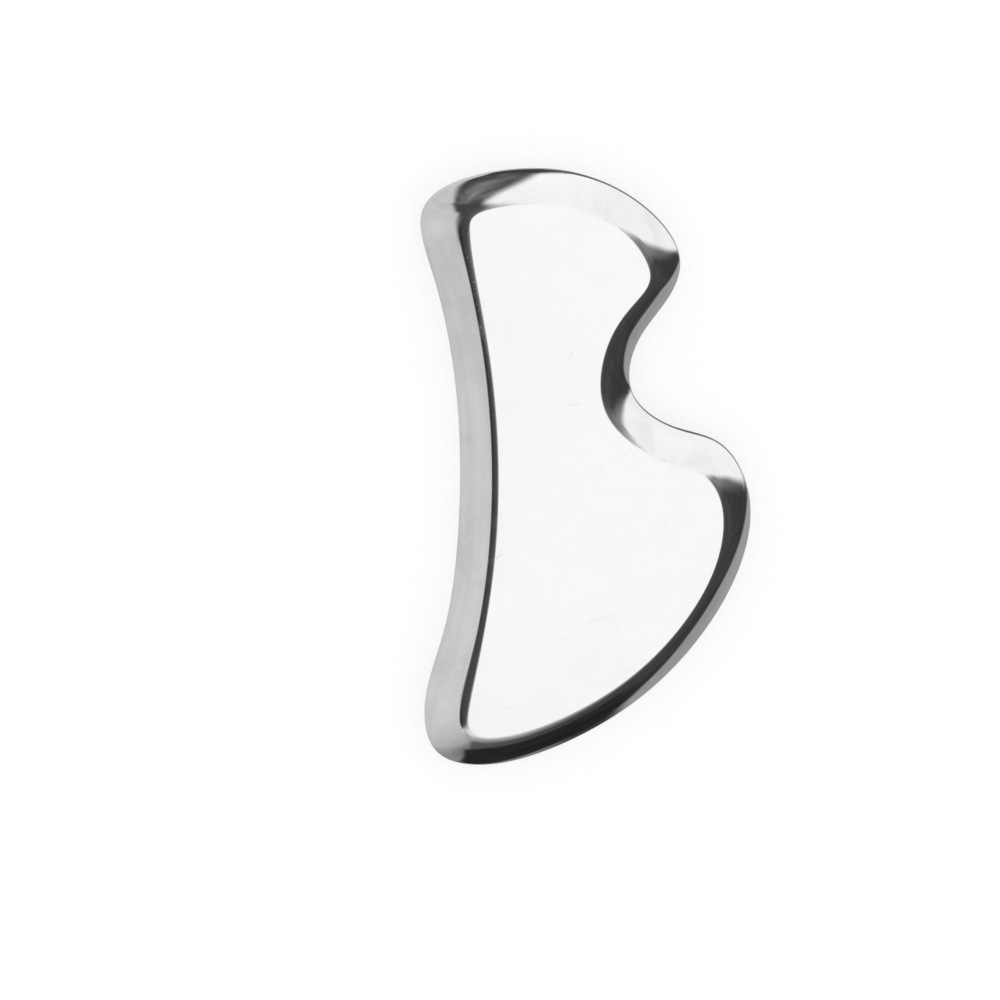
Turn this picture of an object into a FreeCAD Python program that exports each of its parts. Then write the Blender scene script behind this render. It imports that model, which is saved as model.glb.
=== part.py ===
import FreeCAD, Part

import math
import os

# A gua sha scraper: one solid plate of stainless steel lying flat. Its long
# hollow edge faces -X, its notch faces +X, and its thickness rises along +Z.
# Millimetres and degrees.
THICKNESS = 8.0

# Rim section, from the flat face out to the edge: the ridge round, the
# crowned bevel and the edge round. Tilts are between the normal and +Z.
RIDGE_RADIUS = 4.0
RIDGE_TILT = 23.0
EDGE_RADIUS = 1.0
EDGE_TILT = 45.0

# Control cage of the outline, anticlockwise: x, y and how wide the rim is
# there. The edge is the smooth closed curve that this cage draws.
CROWN = [(0.0, 55.3, 6.4), (-12.0, 57.4, 6.1)]
HEEL = [(-26.5, 55.4, 6.0), (-34.9, 49.5, 8.5), (-29.4, 36.5, 6.5)]
HOLLOW = [(-25.5, 21.0, 6.2), (-23.5, 4.0, 6.3), (-23.5, -14.0, 6.5), (-25.0, -30.0, 6.0)]
TOE = [(-30.0, -43.0, 8.2), (-28.3, -54.5, 7.0), (-19.0, -57.1, 6.3)]
BELLY = [(-8.0, -55.5, 6.0), (7.8, -48.6, 5.9), (20.8, -37.7, 5.7), (30.6, -22.9, 5.7)]
LOWER_LOBE = [(33.8, -7.6, 6.7), (27.1, 5.1, 6.6), (17.2, 5.9, 6.6)]
NOTCH = [(6.9, 12.8, 6.7), (8.7, 24.0, 6.7)]
UPPER_LOBE = [(15.6, 31.0, 5.6), (18.8, 39.6, 7.4), (10.8, 49.3, 6.6)]
FEATURES = [CROWN, HEEL, HOLLOW, TOE, BELLY, LOWER_LOBE, NOTCH, UPPER_LOBE]
OUTLINE = [point for feature in FEATURES for point in feature]


def tilt_vector(tilt):
    """Outward and upward parts of a normal with this tilt."""
    angle = math.radians(tilt)
    return math.sin(angle), math.cos(angle)


def bevel_radius():
    """Crown radius that joins the edge round to the ridge round smoothly."""
    _, ridge_up = tilt_vector(RIDGE_TILT)
    _, edge_up = tilt_vector(EDGE_TILT)
    rise = THICKNESS / 2 - EDGE_RADIUS * edge_up - RIDGE_RADIUS * (1 - ridge_up)
    return rise / (ridge_up - edge_up)


def arc_poles(centre, radius, tilt_from, tilt_to):
    """Three (inset, height, weight) poles of one arc of the rim section."""
    half = math.radians(tilt_to - tilt_from) / 2
    poles = []
    for tilt, weight in (
        (tilt_from, 1.0),
        ((tilt_from + tilt_to) / 2, math.cos(half)),
        (tilt_to, 1.0),
    ):
        out, up = tilt_vector(tilt)
        reach = radius / weight
        poles.append((centre[0] - reach * out, centre[1] + reach * up, weight))
    return poles


def rim_section():
    """Arcs of the rim from the top face down to the bottom face."""
    ridge_out, ridge_up = tilt_vector(RIDGE_TILT)
    edge_out, edge_up = tilt_vector(EDGE_TILT)
    bevel = bevel_radius()
    middle = THICKNESS / 2
    edge_centre = (EDGE_RADIUS, middle)
    step = bevel - EDGE_RADIUS
    bevel_centre = (EDGE_RADIUS + step * edge_out, middle - step * edge_up)
    step = bevel - RIDGE_RADIUS
    ridge_centre = (bevel_centre[0] - step * ridge_out, bevel_centre[1] + step * ridge_up)
    upper = [
        arc_poles(ridge_centre, RIDGE_RADIUS, 0.0, RIDGE_TILT),
        arc_poles(bevel_centre, bevel, RIDGE_TILT, EDGE_TILT),
    ]
    edge = arc_poles(edge_centre, EDGE_RADIUS, EDGE_TILT, 180.0 - EDGE_TILT)
    lower = [
        [(inset, THICKNESS - height, weight) for inset, height, weight in reversed(arc)]
        for arc in reversed(upper)
    ]
    return upper + [edge] + lower


def inset_cage(share):
    """The outline's cage moved inward by this share of the rim's width."""
    moved = []
    for i, (x, y, rim) in enumerate(OUTLINE):
        before = OUTLINE[i - 1]
        after = OUTLINE[(i + 1) % len(OUTLINE)]
        normal_in = left_normal(x - before[0], y - before[1])
        normal_out = left_normal(after[0] - x, after[1] - y)
        across = 1 + normal_in[0] * normal_out[0] + normal_in[1] * normal_out[1]
        reach = share * rim / across
        moved.append(
            (
                x + reach * (normal_in[0] + normal_out[0]),
                y + reach * (normal_in[1] + normal_out[1]),
            )
        )
    return moved


def left_normal(run, rise):
    """Unit normal on the left of a side, which is the inside of the cage."""
    length = math.hypot(run, rise)
    return -rise / length, run / length


def cage_row(share, height):
    """The closed row of surface poles at one share of the rim's width."""
    return [FreeCAD.Vector(x, y, height) for x, y in inset_cage(share)]


def closed_knots():
    """Even knots of a closed cubic curve on the cage, and their multiplicities."""
    knots = [float(i) for i in range(len(OUTLINE) + 1)]
    return knots, [1] * len(knots)


def stretches():
    """Start and end knot of each feature's stretch of the outline."""
    start = 0.0
    spans = []
    for feature in FEATURES:
        spans.append((start, start + len(feature)))
        start += len(feature)
    return spans


def rim_faces(arc, rim_width):
    """One band of the rim: the outline swept through one arc of the section."""
    columns = [cage_row(inset / rim_width, height) for inset, height, _ in arc]
    poles = [list(row) for row in zip(*columns)]
    weights = [[weight for _, _, weight in arc] for _ in OUTLINE]
    knots, multiplicities = closed_knots()
    faces = []
    for start, end in stretches():
        surface = Part.BSplineSurface()
        surface.buildFromPolesMultsKnots(
            poles, multiplicities, [3, 3], knots, [0.0, 1.0], True, False, 3, 2, weights
        )
        surface.segment(start, end, 0.0, 1.0)
        faces.append(surface.toShape())
    return faces


def flat_face(height):
    """One of the two flat faces, inside the whole width of the rim."""
    knots, multiplicities = closed_knots()
    edges = []
    for start, end in stretches():
        curve = Part.BSplineCurve()
        curve.buildFromPolesMultsKnots(cage_row(1.0, height), multiplicities, knots, True, 3)
        curve.segment(start, end)
        edges.append(curve.toShape())
    return Part.Face(Part.Wire(edges))


def scraper_body():
    """The whole scraper as one closed solid, centred over the origin."""
    section = rim_section()
    rim_width = section[0][0][0]
    faces = [flat_face(THICKNESS), flat_face(0.0)]
    for arc in section:
        faces += rim_faces(arc, rim_width)
    shell = Part.Shell(faces)
    shell.sewShape()
    solid = Part.Solid(shell)
    if solid.Volume < 0:
        solid.reverse()
    box = solid.optimalBoundingBox()
    solid.translate(FreeCAD.Vector(-box.Center.x, -box.Center.y, 0.0))
    return solid


os.makedirs("parts", exist_ok=True)
scraper_body().exportStep("parts/scraper_body.step")
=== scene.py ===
import math

import bpy
import numpy as np
from mathutils import Matrix, Vector


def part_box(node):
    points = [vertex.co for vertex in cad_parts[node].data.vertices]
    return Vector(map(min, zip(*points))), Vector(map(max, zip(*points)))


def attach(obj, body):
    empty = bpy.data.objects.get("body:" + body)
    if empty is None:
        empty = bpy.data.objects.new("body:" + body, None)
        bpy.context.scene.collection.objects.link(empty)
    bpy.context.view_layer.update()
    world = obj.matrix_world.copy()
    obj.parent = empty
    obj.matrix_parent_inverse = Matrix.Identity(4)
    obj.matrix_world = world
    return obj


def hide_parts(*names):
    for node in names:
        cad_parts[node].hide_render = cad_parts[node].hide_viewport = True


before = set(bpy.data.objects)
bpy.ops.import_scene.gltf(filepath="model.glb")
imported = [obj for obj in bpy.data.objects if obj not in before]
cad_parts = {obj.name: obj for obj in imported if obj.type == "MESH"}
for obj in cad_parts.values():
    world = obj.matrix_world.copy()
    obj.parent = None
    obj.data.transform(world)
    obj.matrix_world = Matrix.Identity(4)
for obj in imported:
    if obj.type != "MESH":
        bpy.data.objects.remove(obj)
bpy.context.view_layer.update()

# A gua sha scraper of mirror-polished stainless steel, lying flat on a pale
# floor inside a light tent. Metres and degrees, in the CAD's own frame.
low, high = (Vector(corner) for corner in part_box("scraper_body"))
middle = (low + high) / 2
thickness = high.z - low.z

# The rim's section and the outline's control cage, as the CAD has them.
RIDGE_RADIUS = 0.004
RIDGE_TILT = 23.0
EDGE_RADIUS = 0.001
EDGE_TILT = 45.0

# x, y and the rim's width at each control point, anticlockwise.
CROWN = [(0.0, 0.0553, 0.0064), (-0.012, 0.0574, 0.0061)]
HEEL = [(-0.0265, 0.0554, 0.006), (-0.0349, 0.0495, 0.0085), (-0.0294, 0.0365, 0.0065)]
HOLLOW = [
    (-0.0255, 0.021, 0.0062),
    (-0.0235, 0.004, 0.0063),
    (-0.0235, -0.014, 0.0065),
    (-0.025, -0.03, 0.006),
]
TOE = [(-0.03, -0.043, 0.0082), (-0.0283, -0.0545, 0.007), (-0.019, -0.0571, 0.0063)]
BELLY = [
    (-0.008, -0.0555, 0.006),
    (0.0078, -0.0486, 0.0059),
    (0.0208, -0.0377, 0.0057),
    (0.0306, -0.0229, 0.0057),
]
LOWER_LOBE = [(0.0338, -0.0076, 0.0067), (0.0271, 0.0051, 0.0066), (0.0172, 0.0059, 0.0066)]
NOTCH = [(0.0069, 0.0128, 0.0067), (0.0087, 0.024, 0.0067)]
UPPER_LOBE = [(0.0156, 0.031, 0.0056), (0.0188, 0.0396, 0.0074), (0.0108, 0.0493, 0.0066)]
OUTLINE = np.array(CROWN + HEEL + HOLLOW + TOE + BELLY + LOWER_LOBE + NOTCH + UPPER_LOBE)

# Mesh density: columns round the outline, and rows down each arc of the section
# from the flat face to the middle of the edge.
COLUMNS_PER_POINT = 24
RIDGE_ROWS = 10
BEVEL_ROWS = 14
EDGE_ROWS = 10

# Rings across each flat face, as shares of the way from the face's spine to its
# border. The spine runs up the middle of the face and bends towards the hollow.
FACE_RINGS = (0.94, 0.84, 0.7, 0.52, 0.3)
SPINE_POINTS = 400
SPINE_REACH = 0.042
SPINE_MIDDLE = -0.004
SPINE_BEND = -0.009

# Wear along the ridge, as a share of the wear on the edge, and how many degrees
# of tilt it spreads over.
RIDGE_WEAR = 0.4
RIDGE_WEAR_SPREAD = 8.0

# About how many features of each kind fit in a metre, and how deep they are: slow
# waves from the polishing wheel, orange peel, and pits.
WAVE_SCALE, WAVE_DEPTH = 70.0, 0.00005
PEEL_SCALE, PEEL_DEPTH = 1500.0, 0.0000008
PIT_SCALE, PIT_DEPTH = 58.0, 0.000008
# A pit's flat floor and its rim, as shares of the gap between pits.
PIT_FLOOR, PIT_RIM = 0.004, 0.011
# The same count for nicks, for haze, for stains and for the patches of hairlines.
NICK_SCALE = 1900.0
HAZE_SCALE = 95.0
STAIN_SCALE = 120.0
PATCH_SCALE = 260.0
# Fine straight hairlines: their angle, and the usual gap and length. Half their
# width is a share of the gap.
HAIRLINES = ((24.0, 0.0021, 0.03), (-61.0, 0.0034, 0.045))
HAIRLINE_SHARE = 0.01
HAIRLINE_DEPTH = 0.0000001

# The steel's roughness, and what hairlines and damage add to it.
BARE_ROUGHNESS = 0.035
HAIRLINE_ROUGHNESS = 0.045
DAMAGE_ROUGHNESS = 0.2

# Its colours, and how much of the dull one shows where it is nicked or pitted.
STEEL_CLEAN = (0.875, 0.875, 0.876, 1.0)
STEEL_STAINED = (0.8, 0.802, 0.806, 1.0)
STEEL_DULL = (0.5, 0.49, 0.48, 1.0)
DULL_SHARE = 0.45
WHITE = (1.0, 1.0, 1.0, 1.0)

# The camera's place: how far it leans from straight above, and towards where. The
# frame's width is taken at the scraper, which sits off the middle of the picture.
CAMERA_LEAN = 20.0
CAMERA_AZIMUTH = 138.0
CAMERA_DISTANCE = 4.0
SENSOR_WIDTH = 36.0
FRAME_WIDTH = 0.18505
AIM_LEFT = 0.01536
AIM_BELOW = 0.0065

FLOOR_SIZE = 6.0
FLOOR_COLOUR = (0.9, 0.9, 0.9, 1.0)
FLOOR_ROUGHNESS = 0.9
FLOOR_GLOW = 0.56
WORLD_STRENGTH = 0.5

# The light tent: its dome, and the tone where no panel hangs.
TENT_RADIUS = 8.0
TENT_SEGMENTS = 360
TENT_RINGS = 180
TENT_TONE = 0.76
# A tone to this power is its light, of which the steel gives back a share.
TONE_POWER = 2.2
STEEL_SHARE = 0.86
# How rounded the tones are at a panel's corners, and how strong the small clouds
# are against the large ones.
CORNER_SOFTNESS = 0.001
SMALL_CLOUDS = 0.6


def cage_offsets():
    """For each control point, how the point moves inward over the rim's width."""
    points = OUTLINE[:, :2]
    sides = np.roll(points, -1, axis=0) - points
    sides /= np.linalg.norm(sides, axis=1)[:, None]
    normal_out = np.stack([-sides[:, 1], sides[:, 0]], axis=1)
    normal_in = np.roll(normal_out, 1, axis=0)
    across = 1 + (normal_in * normal_out).sum(axis=1)
    return OUTLINE[:, 2:3] * (normal_in + normal_out) / across[:, None]


def closed_curve(poles):
    """Points and tangents of the closed cubic curve that these poles draw."""
    count = len(poles) * COLUMNS_PER_POINT
    place = np.arange(count) / COLUMNS_PER_POINT
    span = place.astype(int)
    t = (place - span)[:, None]
    value = ((1 - t) ** 3, 3 * t**3 - 6 * t**2 + 4, -3 * t**3 + 3 * t**2 + 3 * t + 1, t**3)
    slope = (-3 * (1 - t) ** 2, 9 * t**2 - 12 * t, -9 * t**2 + 6 * t + 3, 3 * t**2)
    near = [poles[(span + step) % len(poles)] for step in (-1, 0, 1, 2)]
    points = sum(weight * pole for weight, pole in zip(value, near)) / 6
    tangents = sum(weight * pole for weight, pole in zip(slope, near)) / 6
    return points, tangents


def rim_section():
    """The rim's width and its rows, from the top face down to the bottom one.

    A row has its share of the width, its height over the middle of the edge,
    and the tilt of its normal from straight up.
    """
    ridge, edge = math.radians(RIDGE_TILT), math.radians(EDGE_TILT)
    rise = thickness / 2 - EDGE_RADIUS * math.cos(edge) - RIDGE_RADIUS * (1 - math.cos(ridge))
    bevel_radius = rise / (math.cos(ridge) - math.cos(edge))
    edge_centre = np.array([EDGE_RADIUS, 0.0])
    step = bevel_radius - EDGE_RADIUS
    bevel_centre = edge_centre + step * np.array([math.sin(edge), -math.cos(edge)])
    step = bevel_radius - RIDGE_RADIUS
    ridge_centre = bevel_centre + step * np.array([-math.sin(ridge), math.cos(ridge)])
    rim_width = ridge_centre[0]
    rows = []
    for centre, radius, start, end, count in (
        (ridge_centre, RIDGE_RADIUS, 0.0, ridge, RIDGE_ROWS),
        (bevel_centre, bevel_radius, ridge, edge, BEVEL_ROWS),
        (edge_centre, EDGE_RADIUS, edge, math.pi / 2, EDGE_ROWS),
    ):
        for tilt in np.linspace(start, end, count, endpoint=False):
            inset = centre[0] - radius * math.sin(tilt)
            rows.append((inset / rim_width, centre[1] + radius * math.cos(tilt), tilt))
    rows.append((0.0, 0.0, math.pi / 2))
    rows += [(share, -height, math.pi - tilt) for share, height, tilt in rows[-2::-1]]
    return rim_width, rows


def rim_rings(rows, rim_width):
    """Points and exact normals of the rim, one closed ring for each row."""
    edge, edge_tangents = closed_curve(OUTLINE[:, :2])
    inward, inward_tangents = closed_curve(cage_offsets())
    count = len(edge)
    points, normals = [], []
    for share, height, tilt in rows:
        points.append(np.column_stack([edge + share * inward, np.full(count, height)]))
        along = np.column_stack([edge_tangents + share * inward_tangents, np.zeros(count)])
        down = np.column_stack(
            [-inward * math.cos(tilt) / rim_width, np.full(count, -math.sin(tilt))]
        )
        normal = np.cross(down, along)
        normals.append(normal / np.linalg.norm(normal, axis=1)[:, None])
    return points, normals


def face_rings(border):
    """Rings across a flat face, from its border in towards its spine."""
    along = np.linspace(-1, 1, SPINE_POINTS)
    spine = np.column_stack([SPINE_MIDDLE + SPINE_BEND * along**2, SPINE_REACH * along])
    gaps = np.linalg.norm(border[:, None, :2] - spine, axis=2)
    target = spine[gaps.argmin(axis=1)]
    rings = []
    for scale in FACE_RINGS:
        ring = border.copy()
        ring[:, :2] = target + (border[:, :2] - target) * scale
        rings.append(ring)
    return rings


def closed_faces(ring_count, columns):
    """Quads between each ring and the next, and one face to close either end."""
    around = np.arange(columns)
    after = np.roll(around, -1)
    faces = []
    for ring in range(ring_count - 1):
        start, following = ring * columns, (ring + 1) * columns
        quads = (start + around, following + around, following + after, start + after)
        faces += np.column_stack(quads).tolist()
    faces.append(around.tolist())
    faces.append(((ring_count - 1) * columns + around[::-1]).tolist())
    return faces


def rim_marks(rows):
    """For each row, how far it is onto the rim and how worn it is, from 0 to 1."""
    tilts = np.degrees([min(tilt, math.pi - tilt) for _, _, tilt in rows])
    ridge_wear = np.exp(-(((tilts - RIDGE_TILT / 2) / RIDGE_WEAR_SPREAD) ** 2))
    edge_wear = np.clip((tilts - EDGE_TILT) / (90 - EDGE_TILT), 0, 1)
    on_rim = np.clip(tilts / RIDGE_TILT, 0, 1)
    return {"on_rim": on_rim, "worn": RIDGE_WEAR * ridge_wear + edge_wear}


def build_body():
    """The whole scraper as one closed mesh with exact normals."""
    rim_width, rows = rim_section()
    rim, rim_normals = rim_rings(rows, rim_width)
    columns = len(rim[0])
    rings = face_rings(rim[0])[::-1] + rim + face_rings(rim[-1])
    upward, downward = (np.tile([0.0, 0.0, z], (columns, 1)) for z in (1.0, -1.0))
    flat_rings = len(FACE_RINGS)
    normals = [upward] * flat_rings + rim_normals + [downward] * flat_rings
    vertices = np.concatenate(rings)
    centre = (vertices.min(axis=0) + vertices.max(axis=0)) / 2
    mesh = bpy.data.meshes.new("scraper_polished")
    faces = closed_faces(len(rings), columns)
    mesh.from_pydata((vertices - centre + np.array(middle)).tolist(), [], faces)
    mesh.shade_smooth()
    mesh.normals_split_custom_set_from_vertices(np.concatenate(normals).tolist())
    for name, values in rim_marks(rows).items():
        layer = mesh.attributes.new(name, "FLOAT", "POINT")
        marks = np.repeat(np.pad(values, flat_rings), columns)
        layer.data.foreach_set("value", marks.astype(np.float32))
    piece = bpy.data.objects.new("scraper_polished", mesh)
    bpy.context.collection.objects.link(piece)
    return piece


def polished_steel():
    """Mirror-polished stainless steel: wavy where the wheel worked, hazed, finely scratched."""
    material = bpy.data.materials.new("polished_steel")
    material.use_nodes = True
    nodes, links = material.node_tree.nodes, material.node_tree.links
    shader = nodes["Principled BSDF"]
    place = nodes.new("ShaderNodeTexCoord").outputs["Object"]

    def noise(scale, detail, roughness=0.5, distortion=0.0):
        """Cloudy noise from 0 to 1 over the whole body."""
        node = nodes.new("ShaderNodeTexNoise")
        node.inputs["Scale"].default_value = scale
        node.inputs["Detail"].default_value = detail
        node.inputs["Roughness"].default_value = roughness
        node.inputs["Distortion"].default_value = distortion
        links.new(place, node.inputs["Vector"])
        return node.outputs["Fac"]

    def ramp(value, start, end, low=0.0, high=1.0):
        """A smooth step from low to high while the value goes from start to end."""
        node = nodes.new("ShaderNodeMapRange")
        node.interpolation_type = "SMOOTHSTEP"
        node.inputs["From Min"].default_value = start
        node.inputs["From Max"].default_value = end
        node.inputs["To Min"].default_value = low
        node.inputs["To Max"].default_value = high
        links.new(value, node.inputs["Value"])
        return node.outputs["Result"]

    def maths(operation, first, second):
        """A sum, product or maximum of two values, of which the second may be a number."""
        node = nodes.new("ShaderNodeMath")
        node.operation = operation
        links.new(first, node.inputs[0])
        if isinstance(second, float):
            node.inputs[1].default_value = second
        else:
            links.new(second, node.inputs[1])
        return node.outputs["Value"]

    def hairlines(angle, gap, length):
        """Long thin random lines at this angle."""
        turn = nodes.new("ShaderNodeMapping")
        turn.vector_type = "TEXTURE"
        turn.inputs["Rotation"].default_value = (0.0, 0.0, math.radians(angle))
        turn.inputs["Scale"].default_value = (gap, length, length)
        links.new(place, turn.inputs["Vector"])
        cells = nodes.new("ShaderNodeTexVoronoi")
        cells.feature = "DISTANCE_TO_EDGE"
        cells.inputs["Scale"].default_value = 1.0
        links.new(turn.outputs["Vector"], cells.inputs["Vector"])
        return ramp(cells.outputs["Distance"], start=0.0, end=HAIRLINE_SHARE, low=1.0, high=0.0)

    def bump(height, depth, under=None, strength=None):
        """The normal of this unevenness, laid over the one under it."""
        node = nodes.new("ShaderNodeBump")
        node.inputs["Distance"].default_value = depth
        links.new(height, node.inputs["Height"])
        if under:
            links.new(under, node.inputs["Normal"])
        if strength:
            links.new(strength, node.inputs["Strength"])
        return node.outputs["Normal"]

    def carried(name):
        """A value that the mesh carries at its vertices."""
        node = nodes.new("ShaderNodeAttribute")
        node.attribute_name = name
        return node.outputs["Fac"]

    def on_face_and_rim(face, rim):
        """A value that is one number on the flat faces and another on the rim."""
        return ramp(on_rim, start=0.0, end=1.0, low=face, high=rim)

    on_rim, worn = carried("on_rim"), carried("worn")
    patches = ramp(noise(PATCH_SCALE, detail=2.0), start=0.5, end=0.62)
    both_ways = maths("MAXIMUM", *(hairlines(*line) for line in HAIRLINES))
    lines = maths("MULTIPLY", both_ways, patches)
    chips = ramp(noise(NICK_SCALE, detail=3.0, roughness=0.7), start=0.58, end=0.74)
    nicks = maths("MULTIPLY", chips, worn)
    dots = nodes.new("ShaderNodeTexVoronoi")
    dots.voronoi_dimensions = "2D"
    dots.inputs["Scale"].default_value = PIT_SCALE
    links.new(place, dots.inputs["Vector"])
    pits = ramp(dots.outputs["Distance"], start=PIT_FLOOR, end=PIT_RIM, low=1.0, high=0.0)
    damage = maths("MAXIMUM", nicks, maths("MULTIPLY", pits, on_rim))
    haze = ramp(noise(HAZE_SCALE, detail=5.0, roughness=0.62, distortion=0.6), start=0.42, end=0.72)

    waves = noise(WAVE_SCALE, detail=1.5, roughness=0.4)
    surface = bump(waves, WAVE_DEPTH, strength=on_face_and_rim(face=0.03, rim=0.5))
    peel = noise(PEEL_SCALE, detail=2.0)
    surface = bump(peel, PEEL_DEPTH, surface, on_face_and_rim(face=0.1, rim=1.0))
    surface = bump(lines, -HAIRLINE_DEPTH, surface)
    surface = bump(damage, -PIT_DEPTH, surface)
    links.new(surface, shader.inputs["Normal"])

    rough = maths("MULTIPLY", haze, on_face_and_rim(face=0.02, rim=0.07))
    rough = maths("ADD", rough, maths("MULTIPLY", lines, HAIRLINE_ROUGHNESS))
    rubbed = ramp(haze, start=0.0, end=1.0, low=0.04, high=0.14)
    rough = maths("ADD", rough, maths("MULTIPLY", rubbed, worn))
    rough = maths("ADD", rough, maths("MULTIPLY", damage, DAMAGE_ROUGHNESS))
    links.new(maths("ADD", rough, BARE_ROUGHNESS), shader.inputs["Roughness"])

    stain = ramp(noise(STAIN_SCALE, detail=6.0, roughness=0.6, distortion=0.8), start=0.62, end=0.3)
    tint = nodes.new("ShaderNodeValToRGB")
    tint.color_ramp.elements[0].color = STEEL_CLEAN
    tint.color_ramp.elements[1].color = STEEL_STAINED
    links.new(maths("MULTIPLY", stain, on_face_and_rim(face=0.1, rim=1.0)), tint.inputs["Fac"])
    dull = nodes.new("ShaderNodeMix")
    dull.data_type = "RGBA"
    links.new(maths("MULTIPLY", damage, DULL_SHARE), dull.inputs["Factor"])
    links.new(tint.outputs["Color"], dull.inputs["A"])
    dull.inputs["B"].default_value = STEEL_DULL
    links.new(dull.outputs["Result"], shader.inputs["Base Color"])
    shader.inputs["Metallic"].default_value = 1.0
    return material


def smooth_step(value, start, end):
    """From 0 to 1 while the value goes from start to end."""
    share = np.clip((value - start) / (end - start), 0.0, 1.0)
    return share * share * (3 - 2 * share)


def direction(azimuth, elevation):
    """Unit vector towards this azimuth and elevation."""
    azimuth, elevation = math.radians(azimuth), math.radians(elevation)
    level = math.cos(elevation)
    return np.array([level * math.cos(azimuth), level * math.sin(azimuth), math.sin(elevation)])


# Panels of the light tent, each laid over the ones before. Every corner has its
# azimuth, elevation and tone, from 0 for black to 1 for white. The border is how
# many degrees the panel fades over on either side of its outline, and the mottle
# how cloudy it is.
PANELS = {
    # Light grey walls, which the rim shows from the heel along the hollow to the toe.
    "far_wall": dict(
        border=8,
        mottle=0.04,
        corners=[(85, -70, 0.78), (150, -70, 0.78), (150, 72, 0.74), (85, 72, 0.78)],
    ),
    "side_wall": dict(
        border=8,
        mottle=0.04,
        corners=[
            (140, -60, 0.75), (214, -60, 0.75), (214, 2, 0.77),
            (205, 62, 0.8), (150, 64, 0.76),
        ],
    ),
    "left_wall": dict(
        border=5,
        mottle=0.04,
        corners=[
            (-148, -60, 0.74), (-120, -60, 0.68), (-120, 30, 0.68),
            (-120, 67, 0.76), (-148, 66, 0.74), (-148, 30, 0.76),
        ],
    ),
    "front_wall": dict(
        border=4,
        mottle=0.04,
        corners=[
            (-122, -60, 0.68), (-88, -60, 0.42), (-88, 20, 0.41), (-88, 60, 0.55),
            (-105, 71, 0.78), (-122, 67, 0.84), (-122, 30, 0.68),
        ],
    ),
    # Where the rim of the belly turns from light at the ridge to dark.
    "turn_top": dict(
        border=2,
        mottle=0.05,
        corners=[(-47, 68, 0.95), (-75, 71, 0.95), (-88, 62, 0.7), (-52, 60, 0.62)],
    ),
    "turn_middle": dict(
        border=5,
        mottle=0.08,
        corners=[(-90, 59, 0.66), (-48, 59, 0.62), (-47, 36, 0.24), (-88, 36, 0.34)],
    ),
    "turn_low": dict(
        border=3,
        mottle=0.1,
        corners=[(-90, 40, 0.36), (-47, 38, 0.24), (-47, -60, 0.18), (-86, -60, 0.3)],
    ),
    # The main light, on the crown and both lobes, and the dark ceiling that draws
    # the line along the ridge.
    "key_softbox": dict(
        border=2.5,
        mottle=0.008,
        corners=[
            (-10, -5, 0.92), (45, -5, 0.93), (58, 6, 0.96), (73, 16, 0.97),
            (88, 50, 0.94), (60, 75, 0.94), (-10, 76, 0.95),
        ],
    ),
    "ceiling": dict(
        border=2.5,
        mottle=0.15,
        corners=[
            (90, 56, 0.26), (140, 58, 0.26), (190, 67, 0.36), (213, 62, 0.16),
            (240, 64, 0.17), (262, 71, 0.25), (-50, 72, 0.36), (0, 77, 0.36),
            (50, 75, 0.3), (76, 64, 0.28),
        ],
    ),
    # Flags that make the notch, the lobes' ends and the belly dark.
    "flag_shade": dict(
        border=3,
        mottle=0.06,
        corners=[
            (-20, 0, 0.25), (5, 0, 0.3), (10, 25, 0.4), (17, 42, 0.55),
            (12, 55, 0.52), (-5, 66, 0.45), (-38, 68, 0.4),
        ],
    ),
    "dark_flag": dict(
        border=4,
        mottle=0.15,
        corners=[
            (-55, -12, 0.18), (1, -12, 0.22), (4, 40, 0.26),
            (-12, 60, 0.26), (-40, 66, 0.25), (-55, 50, 0.25),
        ],
    ),
    "low_dark": dict(
        border=2.5,
        mottle=0.2,
        corners=[(-83, -14, 0.15), (-50, -14, 0.15), (-50, 20, 0.17), (-92, 22, 0.17)],
    ),
    # The light that fills the whole flat face.
    "face_softbox": dict(
        border=0.8,
        mottle=0.0,
        corners=[
            (-49.3, 69.2, 0.97), (-40, 67.6, 0.97), (-10, 67.6, 0.95),
            (20, 64, 0.94), (22, 75, 0.95),
        ],
    ),
    # The dark smear from the heel to the crown, with a lighter streak in it.
    "band_low": dict(
        border=3,
        mottle=0.25,
        corners=[
            (72, 13, 0.32), (79, 40, 0.38), (83, 50, 0.42),
            (122, 50, 0.3), (102, 22, 0.26), (84, -2, 0.24),
        ],
    ),
    "band_high": dict(
        border=3,
        mottle=0.25,
        corners=[(84, 46, 0.36), (86, 62, 0.28), (146, 63, 0.25), (124, 49, 0.26)],
    ),
    "band_light": dict(
        border=4,
        mottle=0.3,
        corners=[
            (80, 22, 0.44), (92, 22, 0.46), (114, 50, 0.48),
            (106, 52, 0.48), (86, 36, 0.44),
        ],
    ),
    # What the outermost strip of the rim shows.
    "dark_floor": dict(
        border=2,
        mottle=0.0,
        corners=[(8, -70, 0.5), (8, -9, 0.5), (60, 0, 0.4), (60, -70, 0.4)],
    ),
    "dark_step": dict(
        border=2,
        mottle=0.1,
        corners=[
            (44, -30, 0.45), (44, -6, 0.5), (57, 6, 0.3),
            (72, 15, 0.22), (90, 12, 0.22), (84, -30, 0.2),
        ],
    ),
    "front_floor": dict(
        border=3,
        mottle=0.05,
        corners=[(-100, -70, 0.6), (-60, -70, 0.6), (-60, -13, 0.5), (-86, -16, 0.5)],
    ),
    "grey_table": dict(
        border=2,
        mottle=0.04,
        corners=[
            (-53, -70, 0.62), (-52, -8, 0.57), (-48, 0, 0.57), (-40, 7, 0.58),
            (-32, 8, 0.54), (-10, -4, 0.6), (4, -12, 0.62), (10, -70, 0.65),
        ],
    ),
}


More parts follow.
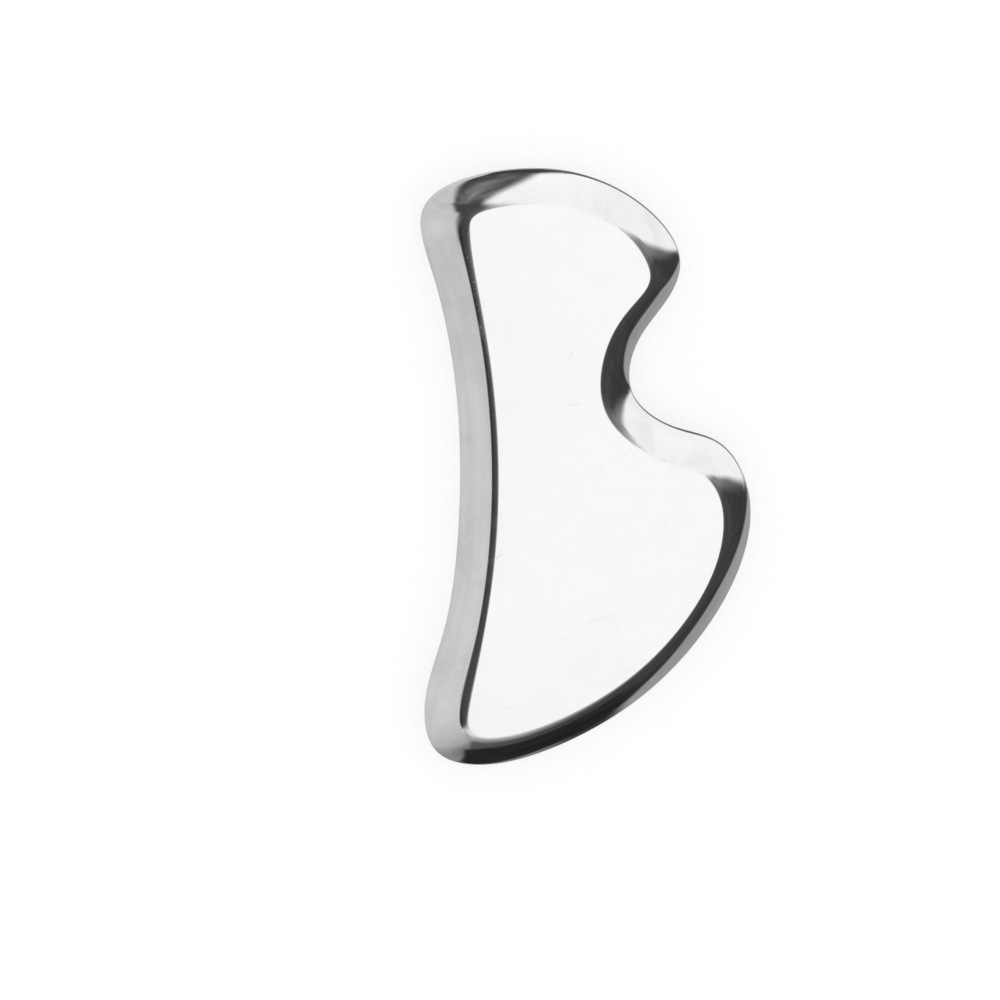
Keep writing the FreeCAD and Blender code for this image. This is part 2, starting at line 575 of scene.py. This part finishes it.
def clouds(look):
    """Soft unevenness from -1 to 1 over all directions.

    The frequencies are prime numbers, so that the pattern doesn't repeat, and each
    size of cloud bends the next smaller one.
    """
    x, y, z = look.T
    large = np.sin(13 * x + 5 * z + 1) * np.sin(11 * y - 7 * z + 2)
    medium = np.sin(29 * x - 17 * y + 2 * large) * np.sin(23 * y + 19 * z)
    small = np.sin(61 * x + 37 * z + 3 * medium) * np.sin(53 * y - 41 * x)
    return (large + medium + SMALL_CLOUDS * small) / (2 + SMALL_CLOUDS)


def panel_depth(look, places):
    """How far inside a panel each direction is, in degrees. Outside it is below 0."""
    heart = sum(places)
    depth = np.ones(len(look))
    for place, following in zip(places, places[1:] + places[:1]):
        side = np.cross(place, following)
        side *= np.sign(side @ heart) / np.linalg.norm(side)
        depth = np.minimum(depth, look @ side)
    return np.degrees(np.arcsin(depth))


def panel_tone(look, places, tones):
    """The corners' tones, where the nearer corners count for more."""
    shares = [1 / (1 + CORNER_SOFTNESS - look @ place) for place in places]
    return sum(share * tone for share, tone in zip(shares, tones)) / sum(shares)


def tent_tone(look):
    """The tone of the tent in each direction."""
    cloudy = clouds(look)
    tone = np.full(len(look), TENT_TONE)
    for panel in PANELS.values():
        places = [direction(azimuth, elevation) for azimuth, elevation, _ in panel["corners"]]
        tones = [corner_tone for _, _, corner_tone in panel["corners"]]
        cover = smooth_step(panel_depth(look, places), -panel["border"], panel["border"])
        painted = panel_tone(look, places, tones) * (1 + panel["mottle"] * cloudy)
        tone += cover * (painted - tone)
    return tone


def light_tent():
    """A dome of soft panels that only the polished metal sees."""
    bpy.ops.mesh.primitive_uv_sphere_add(
        segments=TENT_SEGMENTS, ring_count=TENT_RINGS, radius=TENT_RADIUS
    )
    tent = bpy.context.object
    tent.name = "light_tent"
    mesh = tent.data
    look = np.empty((len(mesh.vertices), 3))
    mesh.vertices.foreach_get("co", look.ravel())
    look /= np.linalg.norm(look, axis=1)[:, None]
    glow = tent_tone(look) ** TONE_POWER / STEEL_SHARE
    layer = mesh.attributes.new("glow", "FLOAT", "POINT")
    layer.data.foreach_set("value", glow.astype(np.float32))
    mesh.shade_smooth()
    material = bpy.data.materials.new("tent_glow")
    material.use_nodes = True
    nodes, links = material.node_tree.nodes, material.node_tree.links
    nodes.clear()
    reader = nodes.new("ShaderNodeAttribute")
    reader.attribute_name = "glow"
    emitter = nodes.new("ShaderNodeEmission")
    output = nodes.new("ShaderNodeOutputMaterial")
    links.new(reader.outputs["Fac"], emitter.inputs["Strength"])
    links.new(emitter.outputs["Emission"], output.inputs["Surface"])
    material.cycles.emission_sampling = "NONE"
    mesh.materials.append(material)
    tent.location = middle
    tent.visible_camera = False
    tent.visible_diffuse = False
    tent.visible_shadow = False


def pale_floor():
    """The floor, which the camera sees and the metal doesn't."""
    bpy.ops.mesh.primitive_plane_add(size=FLOOR_SIZE, location=(0.0, 0.0, low.z))
    floor = bpy.context.object
    floor.name = "floor"
    material = bpy.data.materials.new("pale_floor")
    material.use_nodes = True
    shader = material.node_tree.nodes["Principled BSDF"]
    shader.inputs["Base Color"].default_value = FLOOR_COLOUR
    shader.inputs["Roughness"].default_value = FLOOR_ROUGHNESS
    shader.inputs["Specular IOR Level"].default_value = 0.0
    shader.inputs["Emission Color"].default_value = WHITE
    shader.inputs["Emission Strength"].default_value = FLOOR_GLOW
    floor.data.materials.append(material)
    floor.visible_glossy = False


def soft_world():
    """Even white light from all round, for the floor."""
    world = bpy.data.worlds.new("studio")
    bpy.context.scene.world = world
    world.use_nodes = True
    background = world.node_tree.nodes["Background"]
    background.inputs["Color"].default_value = WHITE
    background.inputs["Strength"].default_value = WORLD_STRENGTH


def camera():
    """A long lens above the scraper, leaning, with +Y up in the picture."""
    lean, azimuth = math.radians(CAMERA_LEAN), math.radians(CAMERA_AZIMUTH)
    axis = Vector((-math.sin(azimuth), math.cos(azimuth), 0.0))
    turn = Matrix.Rotation(lean, 4, axis)
    right, up, back = (turn @ Vector(v) for v in ((1, 0, 0), (0, 1, 0), (0, 0, 1)))
    data = bpy.data.cameras.new("camera")
    data.sensor_width = SENSOR_WIDTH
    data.lens = SENSOR_WIDTH * CAMERA_DISTANCE / FRAME_WIDTH
    place = bpy.data.objects.new("camera", data)
    target = middle - right * AIM_LEFT - up * AIM_BELOW
    place.matrix_world = Matrix.Translation(target + back * CAMERA_DISTANCE) @ turn
    bpy.context.collection.objects.link(place)
    bpy.context.scene.camera = place


body = build_body()
body.data.materials.append(polished_steel())
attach(body, "root")
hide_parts("scraper_body")
light_tent()
pale_floor()
soft_world()
camera()
bpy.context.scene.view_settings.view_transform = "Standard"
